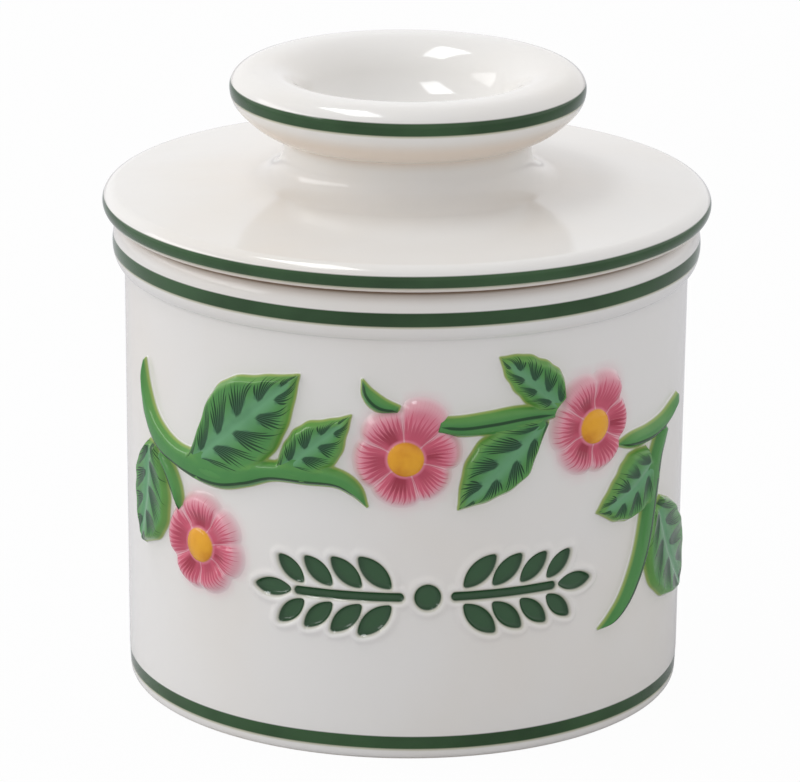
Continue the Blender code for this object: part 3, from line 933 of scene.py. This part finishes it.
def wall_angles():
    """Columns round the crock, closer together behind the ornament."""
    fine_from = (ORNAMENT_CENTRE[0] - ORNAMENT_HALF_LENGTH - 3.0) / UNROLL_RADIUS
    fine_to = (ORNAMENT_CENTRE[0] + ORNAMENT_HALF_LENGTH + 3.0) / UNROLL_RADIUS
    fine = np.linspace(fine_from, fine_to, round((fine_to - fine_from) * UNROLL_RADIUS / GRID))
    rest = math.tau - (fine_to - fine_from)
    coarse = np.linspace(fine_to, fine_to + rest, round(rest * UNROLL_RADIUS / 1.15) + 1)[1:-1]
    return np.concatenate([fine, coarse])


def crock_profile():
    """Floor, inner wall, rolled rim, outer wall and recessed foot."""
    floor_centre = (CROCK_INNER_RADIUS - FLOOR_FILLET, FLOOR_HEIGHT + FLOOR_FILLET)
    mouth_centre = (MOUTH_RADIUS + MOUTH_ROUND, RIM_TOP - MOUTH_ROUND)
    roll_centre = (RIM_RADIUS - RIM_ROLL, RIM_WIDEST)
    foot_centre = (FOOT_RADIUS - FOOT_ROUND, FOOT_ROUND)
    inside = [(0.0, FLOOR_HEIGHT)]
    inside += arc(floor_centre, FLOOR_FILLET, FLOOR_FILLET, -90.0, 0.0, 8)
    inside += arc(mouth_centre, MOUTH_ROUND, MOUTH_ROUND, 180.0, 90.0, 6)
    roll = arc(roll_centre, RIM_ROLL, RIM_TOP - RIM_WIDEST, 90.0, 0.0, 14)
    roll += arc(roll_centre, RIM_ROLL, RIM_WIDEST - WALL_HIGH[1], 0.0, -80.0, 12)[1:]
    crease = (WALL_HIGH[0] + 0.12 * MM, WALL_HIGH[1] - 0.12 * MM)
    wall_top = (WALL_HIGH[0], WALL_HIGH[1] - 0.7 * MM)
    ornament_top, ornament_foot = (
        (wall_radius(up) * MM, up * MM)
        for up in (ORNAMENT_CENTRE[1] + side * ORNAMENT_HALF_HEIGHT for side in (1, -1))
    )
    foot = arc(foot_centre, FOOT_ROUND, FOOT_ROUND, 0.0, -90.0, 6)
    foot += [(FOOT_RING_INNER + 0.4 * MM, 0.0), (FOOT_RING_INNER, 0.15 * MM)]
    foot += [(RECESS_RADIUS + 0.2 * MM, RECESS_HEIGHT - 0.15 * MM)]
    base = spaced([(RECESS_RADIUS - 0.5 * MM, RECESS_HEIGHT), (0.0, RECESS_HEIGHT)], 8 * MM)
    wall = spaced([wall_top, ornament_top], 1.5 * MM)
    wall += spaced([ornament_top, ornament_foot], GRID * MM)[1:]
    wall += spaced([ornament_foot, WALL_LOW], 1.5 * MM)[1:]
    wall += spaced([WALL_LOW, foot[0]], MM)[1:]
    return spaced(inside, 4 * MM) + roll + [crease] + wall + foot[1:] + base


def blush_amount(places):
    """Airbrushed blush on the wall, fading out round each blossom."""
    total = np.zeros(len(places))
    for centre, directions, reaches in BLOSSOMS.values():
        gap = (places[:, 0] - centre[0] + math.pi * UNROLL_RADIUS) % (math.tau * UNROLL_RADIUS)
        x = gap - math.pi * UNROLL_RADIUS
        y = places[:, 1] - centre[1]
        _, edge = petal_frame(directions, reaches, np.arctan2(y, x))
        total = np.maximum(total, smoothstep(2.2, -0.4, np.hypot(x, y) - edge))
    return total


def make_crock():
    """Crock body with its incised ornament."""
    profile = crock_profile()
    points, faces, places = turned(profile, wall_angles(), wall_relief)
    radii = np.hypot(np.array(points)[:, 0], np.array(points)[:, 1]) / MM
    heights = places[:, 1]
    outer = radii > WALL_LOW[0] / MM - 2.0
    # Painted seam shade on the rim under the lid, ending at the top in bare clay that is also darkened as
    # shade
    bare_seat_and_shade = 0.35 * smoothstep(*SEAT_SHADE, heights) + 0.65 * smoothstep(*SEAT_BARE_AND_SHADE, heights)
    attributes = {
        "ornament": np.where(outer, ornament_distance(places[:, 0], heights), 9.0),
        "blush": blush_amount(places) * outer,
        "bare": smoothstep(0.45, 0.2, heights) * (radii > FOOT_RING_INNER / MM - 0.5),
        "bare_seat_and_shade": bare_seat_and_shade * outer,
    }
    glaze = crock_material()
    new_piece("crock_glazed", ["crock_body"], "crock", glaze, points, faces, attributes)


def smooth_run(start, middle, end, steps):
    """Points after start on a curve that is pulled towards middle and arrives upright at end."""
    points = []
    for step in range(1, steps + 1):
        t = step / steps
        first = (1 - t) ** 2
        second = 2 * t * (1 - t)
        points.append(tuple(first * a + second * b + t * t * c for a, b, c in zip(start, middle, end)))
    return points


def lid_profile():
    """Dished knob, neck and plate thrown as one smooth surface, down to the roof of the bell."""
    lip_centre = (CREST_INNER, KNOB_TOP - DISH_ROUND)
    turn = math.radians(DISH_TURN_DEG)
    dish_centre = (
        lip_centre[0] + 2 * DISH_ROUND * math.cos(turn),
        lip_centre[1] + 2 * DISH_ROUND * math.sin(turn),
    )
    crest = (CREST_OUTER, KNOB_WIDEST)
    crest_across = KNOB_RADIUS - CREST_OUTER
    edge = (LID_RADIUS - LID_EDGE[0], LID_UNDERSIDE + LID_EDGE[1])
    knob = [(0.0, dish_centre[1] - DISH_ROUND)]
    knob += arc(dish_centre, DISH_ROUND, DISH_ROUND, -90.0, DISH_TURN_DEG - 180.0, 14)
    knob += arc(lip_centre, DISH_ROUND, DISH_ROUND, DISH_TURN_DEG, 90.0, 14)[1:]
    knob += arc(crest, crest_across, KNOB_TOP - KNOB_WIDEST, 90.0, 0.0, 18)
    under = arc(crest, crest_across, UNDER_DROP, 0.0, -45.0, 8)[1:]
    under += smooth_run(under[-1], BELLY, THROAT, 12)
    neck_top = (NECK[0], (NECK[1] + THROAT[1]) / 2)
    under += smooth_run(THROAT, (NECK[0] + 0.1 * MM, THROAT[1] - 0.1 * MM), neck_top, 6)
    fillet = (PLATE_TOP[0] - NECK[0], NECK[1] - PLATE_TOP[1])
    plate = arc((PLATE_TOP[0], NECK[1]), *fillet, 180.0, 270.0, 18)
    edge_points = arc(edge, LID_EDGE[0], LID_EDGE[1], 90.0, -90.0, 28)
    top = spaced([plate[-1], edge_points[0]], 2 * MM)[1:-1]
    roof = spaced([edge_points[-1], (BELL_INNER_TOP, LID_UNDERSIDE), ROOF, (0.0, ROOF[1])], 3 * MM)[1:]
    neck = spaced([neck_top, plate[0]], MM)[1:]
    return spaced(knob, 2.5 * MM) + under + neck + plate[1:] + top + edge_points + roof


def make_lid():
    """Knob and plate as one glazed surface."""
    points, faces, _ = turned(lid_profile(), np.linspace(0.0, math.tau, LID_COLUMNS + 1)[:-1])
    nodes = ["lid_plate", "knob"]
    new_piece("lid_glazed", nodes, "lid", lid_material(), points, faces, {})


def make_bell():
    """Bell under the lid, with a rounded mouth."""
    inner, outer = BELL_MOUTH_RADII
    across = (outer - inner) / 2
    mouth = arc(((inner + outer) / 2, BELL_MOUTH + across), across, across, 0.0, -180.0, 16)
    outside = spaced([(BELL_RADIUS, BELL_TOP), mouth[0]], 3 * MM)
    inside = spaced([mouth[-1], (BELL_INNER_TOP, BELL_TOP)], 3 * MM)
    profile = outside + mouth[1:] + inside[1:]
    points, faces, _ = turned(profile, np.linspace(0.0, math.tau, BELL_COLUMNS + 1)[:-1], closed=True)
    new_piece("bell_glazed", ["bell"], "lid", bell_material(), points, faces, {})


def leaf_shape(row):
    """Rib and half width function of a leaf."""
    base, tip, bend, left, right, fans = row
    start, end = np.array(base), np.array(tip)
    along = (end - start) / np.linalg.norm(end - start)
    middle = (start + end) / 2 + np.array([-along[1], along[0]]) * bend

    def half_widths(position):
        scallop = SCALLOP * np.cos(math.tau * position * (fans + 1)) * smoothstep(0.1, 0.3, position)
        scallop = scallop * smoothstep(1.0, 0.8, position)
        past = np.clip((position - BLUNT_FROM) / (1.0 - BLUNT_FROM), 0.0, 1.0)
        rounded = (1.0 - BLUNT_FROM) * (1.0 - np.sqrt(1.0 - past**2))
        blunted = np.minimum(position, BLUNT_FROM) + rounded
        widths = (through(side + (0.0,), blunted) for side in (left, right))
        return tuple(np.maximum(0.02, width + sign * scallop) for width, sign in zip(widths, (1, -1)))

    return (base, tuple(middle), tip), half_widths


def stem_shape(row):
    """Rib and half width function of a stem."""
    points, _ = row
    rib = tuple(point[:2] for point in points)
    widths = [point[2] for point in points]

    def half_widths(position):
        width = np.maximum(0.05, through(widths, position))
        return width, width

    return rib, half_widths


def joined_inset(flat, own, name, outlines):
    """Distance in from the outline of a sprig together with the sprigs that it touches."""
    joined = own
    middle = flat.reshape(-1, 2).mean(axis=0)
    for other, outline in outlines.items():
        if other == name or np.abs(outline.mean(axis=0) - middle).max() > FAR_APART:
            continue
        gap = signed_inset(flat, outline)
        closeness = np.clip(0.5 + 0.5 * (joined - gap) / BLEND, 0.0, 1.0)
        swell = BLEND * closeness * (1.0 - closeness) * 0.5
        merged = gap + (joined - gap) * closeness + swell
        joined = np.where(joined > -2.0, np.maximum(joined, merged), joined)
    return joined


def make_leaf(name, row, seed, outlines, material):
    """Leaf with scalloped margins, a sunk midrib and faint side veins that alternate."""
    rib, half_widths = leaf_shape(row)
    fans = row[-1]
    flat, along, offset, width = strip_grid(rib, half_widths, *LEAF_GRID)
    own = signed_inset(flat, outlines[name])
    joined = joined_inset(flat, own, name, outlines)
    out = np.clip(np.abs(offset) / width, 0.0, 1.4)
    lobe = (along - VEIN_SWEEP * np.minimum(out, 1.0)) * (fans + 0.4)
    lobe += np.where(offset > 0, 0.75, 0.25)
    midrib = -MIDRIB * np.exp(-((offset / 0.45) ** 2)) * smoothstep(1.0, 0.85, along)
    veins = -VEIN * np.cos(math.tau * (lobe - 0.5)) * smoothstep(0.12, 0.35, out)
    cup = CUP * smoothstep(0.2, 0.9, out)
    points, faces = raised(flat, own, joined, midrib + veins + cup)
    lobe = lobe + np.where(offset > 0, 20.0, 60.0) + seed * 100
    attributes = doubled({"lobe": lobe, "out": out, "inset": joined, "own": own})
    new_sprig(name, material, points, faces, attributes)


def make_stem(name, row, outlines, material):
    """Stem, tendril or bud, tapering at both ends."""
    rib, half_widths = stem_shape(row)
    rows = 24 + 14 * len(rib)
    flat, along, offset, width = strip_grid(rib, half_widths, rows, 20)
    own = signed_inset(flat, outlines[name])
    joined = joined_inset(flat, own, name, outlines)
    ridge = RIDGE * np.exp(-((offset / 1.2) ** 2))
    points, faces = raised(flat, own, joined, ridge)
    line = offset - row[1] * width
    attributes = doubled({"along": along, "line": line, "inset": joined, "side": offset / width})
    new_sprig(name, material, points, faces, attributes)


def petal_frame(directions, reaches, angle):
    """Petal number plus place across it, and outline radius, at angles round a blossom."""
    centres = np.radians(np.array(directions))
    reaches = np.array(reaches)
    number = np.zeros_like(angle)
    edge = np.zeros_like(angle)
    for index in range(PETALS):
        after = (index + 1) % PETALS
        start = centres[index]
        span = (centres[after] - start) % math.tau
        turn = (angle - start) % math.tau
        here = turn < span
        share = turn / span
        notch = NOTCH * min(reaches[index], reaches[after])
        side = np.abs(share - 0.5) * 2
        top = np.where(share < 0.5, reaches[index], reaches[after])
        shape = notch + (top - notch) * np.sqrt(np.clip(1.0 - (1.0 - side) ** 2.0, 0.0, 1.0))
        edge = np.where(here, shape, edge)
        number = np.where(here, index + 0.5 + share, number)
    return number, edge


def make_blossom(name, row, material):
    """Six soft petals with creases between them round a domed eye."""
    centre, directions, reaches = row
    angle = np.linspace(0.0, math.tau, SPOKES + 1)[:-1]
    number, edge = petal_frame(directions, reaches, angle)
    kernel = np.array([1.0, 3.0, 4.0, 3.0, 1.0]) / 12.0
    edge = sum(np.roll(edge, shift) * weight for shift, weight in zip(range(-2, 3), kernel))
    outline = np.stack([edge * np.cos(angle), edge * np.sin(angle)], -1)
    share = np.linspace(0.0, 1.0, RINGS + 1)[1:, None]
    radius = share * (edge + SKIRT)
    x, y = radius * np.cos(angle), radius * np.sin(angle)
    inset = signed_inset(np.stack([x, y], -1), outline)
    out = radius / edge
    across = np.abs(number % 1.0 - 0.5) * 2
    height = PETAL_HEIGHT * relief_height(inset)
    crease = smoothstep(0.55, 1.0, across) * smoothstep(2.6, 4.5, radius) * smoothstep(0.0, 1.4, inset)
    dish = smoothstep(6.4, 3.6, radius) * smoothstep(0.0, 0.5, inset)
    eye = np.sqrt(np.clip(1.0 - (radius / EYE_RADIUS) ** 2, 0.0, 1.0))
    dome = (1.0 - across**2) * smoothstep(4.0, 6.4, radius) * smoothstep(0.2, 1.8, inset)
    height = height - PETAL_CREASE * crease - PETAL_DISH * dish + PETAL_DOME * dome + EYE_DOME * eye
    height[-1] = FADED
    sheets = [on_wall(centre[0] + x, centre[1] + y, level).reshape(-1, 3) for level in (height, SUNK)]
    middles = [on_wall(*np.array(centre), level)[None] for level in (height[0].mean() + 0.01, SUNK)]
    total = RINGS * SPOKES
    last = total - SPOKES
    faces = []
    for spoke in range(SPOKES):
        after = (spoke + 1) % SPOKES
        for ring in range(RINGS - 1):
            a = ring * SPOKES + spoke
            b = ring * SPOKES + after
            faces.append((a, a + SPOKES, b + SPOKES, b))
            faces.append((total + b, total + b + SPOKES, total + a + SPOKES, total + a))
        faces.append((2 * total, spoke, after))
        faces.append((2 * total + 1, total + after, total + spoke))
        faces.append((last + spoke, total + last + spoke, total + last + after, last + after))
    points = np.vstack(sheets + middles)
    number = np.broadcast_to(number, radius.shape)
    attributes = doubled({"petal": number, "out": out, "radius": radius, "inset": inset})
    for label, middle in (("petal", 0.5), ("out", 0.0), ("radius", 0.0), ("inset", 8.0)):
        attributes[label] = np.append(attributes[label], (middle, middle))
    new_sprig(name, material, points, faces, attributes)


def make_relief():
    """All the sprigs on the wall."""
    leaf_glaze = leaf_material()
    stem_glaze = stem_material()
    blossom_glaze = blossom_material()
    outlines = {name: strip_outline(*leaf_shape(row)) for name, row in LEAVES.items()}
    outlines.update({name: strip_outline(*stem_shape(row)) for name, row in STEMS.items()})
    for seed, (name, row) in enumerate(LEAVES.items()):
        make_leaf(name, row, seed, outlines, leaf_glaze)
    for name, row in STEMS.items():
        make_stem(name, row, outlines, stem_glaze)
    for name, row in BLOSSOMS.items():
        make_blossom(name, row, blossom_glaze)


# ---------------------------------------------------------------- studio


# Room's light by direction: from, to, and its strength at each end
ROOM_TO_BACK = (-0.9, 0.4, 0.80, 1.02)
ROOM_TO_TOP = (0.45, 1.0, 1.0, 0.68)
ROOM_COLOUR = (1.0, 1.0, 1.02, 1.0)
FLOOR_WIDTH = 8.0
FLOOR_GREY = srgb(208, 208, 211)
FLOOR_WHITE = 0.97
LIGHT_TARGET = (0.0, 0.0, 0.08)
GLINT_COLOUR = (0.92, 0.98, 1.0)

# Camera: focal length and sensor width in mm, place in metres, and turns in radians
FOCAL_LENGTH = 241.7
SENSOR_WIDTH = 36.0
CAMERA_PLACE = (0.0, -0.8653, 0.3205)
CAMERA_PITCH = math.pi / 2 - 0.3044
CAMERA_YAW = 0.001
CAMERA_ROLL = 0.0091


def area_light(name, place, size, power, colour=(1.0, 1.0, 1.0), only_mirrored=False):
    """Rectangular softbox aimed at the crock; it can be one that only shows as a highlight."""
    light = bpy.data.lights.new(name, "AREA")
    light.shape = "RECTANGLE"
    light.size, light.size_y = size
    light.energy = power
    light.color = colour
    lamp = bpy.data.objects.new(name, light)
    bpy.context.scene.collection.objects.link(lamp)
    lamp.location = place
    direction = Vector(LIGHT_TARGET) - lamp.location
    lamp.rotation_euler = direction.to_track_quat("-Z", "Y").to_euler()
    lamp.visible_diffuse = not only_mirrored


def seen_white(nodes, surface, white):
    """Mix a surface with plain white light that only the camera sees, as in a cut-out picture."""
    amount = nodes.output("LightPath", "Is Camera Ray", {}) * white
    light = nodes.output("Emission", 0, {})
    return nodes.output("MixShader", 0, {"Fac": amount, 1: Value(nodes, surface), 2: light})


def make_floor():
    """Pale paper floor."""
    bpy.ops.mesh.primitive_plane_add(size=FLOOR_WIDTH, location=(0.0, 0.0, -0.1 * MM))
    floor = bpy.context.active_object
    floor.name = "floor"
    shader = Shader("floor_paper")
    looks = {"Base Color": FLOOR_GREY, "Roughness": 0.7, "Specular IOR Level": 0.2}
    for label, value in looks.items():
        shader.principled.inputs[label].default_value = value
    surface = seen_white(shader, shader.principled.outputs[0], FLOOR_WHITE)
    shader.feed(shader.tree.nodes["Material Output"].inputs["Surface"], surface)
    floor.data.materials.append(shader.material)


def make_room():
    """Even pale room, brighter behind the object and a little dimmer on the camera's side."""
    world = bpy.data.worlds.new("studio")
    bpy.context.scene.world = world
    world.use_nodes = True
    nodes = Nodes(world.node_tree)
    background = nodes.tree.nodes["Background"]
    to_back = nodes.place("Generated", "Y").ramp(*ROOM_TO_BACK)
    to_top = nodes.place("Generated", "Z").ramp(*ROOM_TO_TOP)
    nodes.feed(background.inputs["Strength"], to_back * to_top)
    background.inputs["Color"].default_value = ROOM_COLOUR
    surface = seen_white(nodes, background.outputs[0], 1.0)
    nodes.feed(nodes.tree.nodes["World Output"].inputs["Surface"], surface)


def make_studio():
    """Floor, room, an overhead softbox to the left with its glint, and a strip at the left side."""
    make_floor()
    make_room()
    area_light("overhead_left", (-0.31, -0.01, 1.03), (0.60, 0.28), 1.6)
    area_light("overhead_glint", (-0.30, -0.01, 1.0), (0.60, 0.26), 2.8, GLINT_COLOUR, True)
    area_light("strip_left", (-0.86, -0.05, 0.48), (1.0, 0.20), 2.0)


def make_camera():
    """Long lens at the front, looking down a little."""
    camera = bpy.data.cameras.new("camera")
    camera.lens = FOCAL_LENGTH
    camera.sensor_width = SENSOR_WIDTH
    camera.clip_end = 20.0
    view = bpy.data.objects.new("camera", camera)
    bpy.context.scene.collection.objects.link(view)
    view.location = CAMERA_PLACE
    view.rotation_euler = (CAMERA_PITCH, 0.0, CAMERA_YAW)
    view.rotation_euler.rotate_axis("Z", CAMERA_ROLL)
    bpy.context.scene.camera = view
    bpy.context.scene.view_settings.view_transform = "Standard"


make_crock()
make_lid()
make_bell()
make_relief()
make_studio()
make_camera()
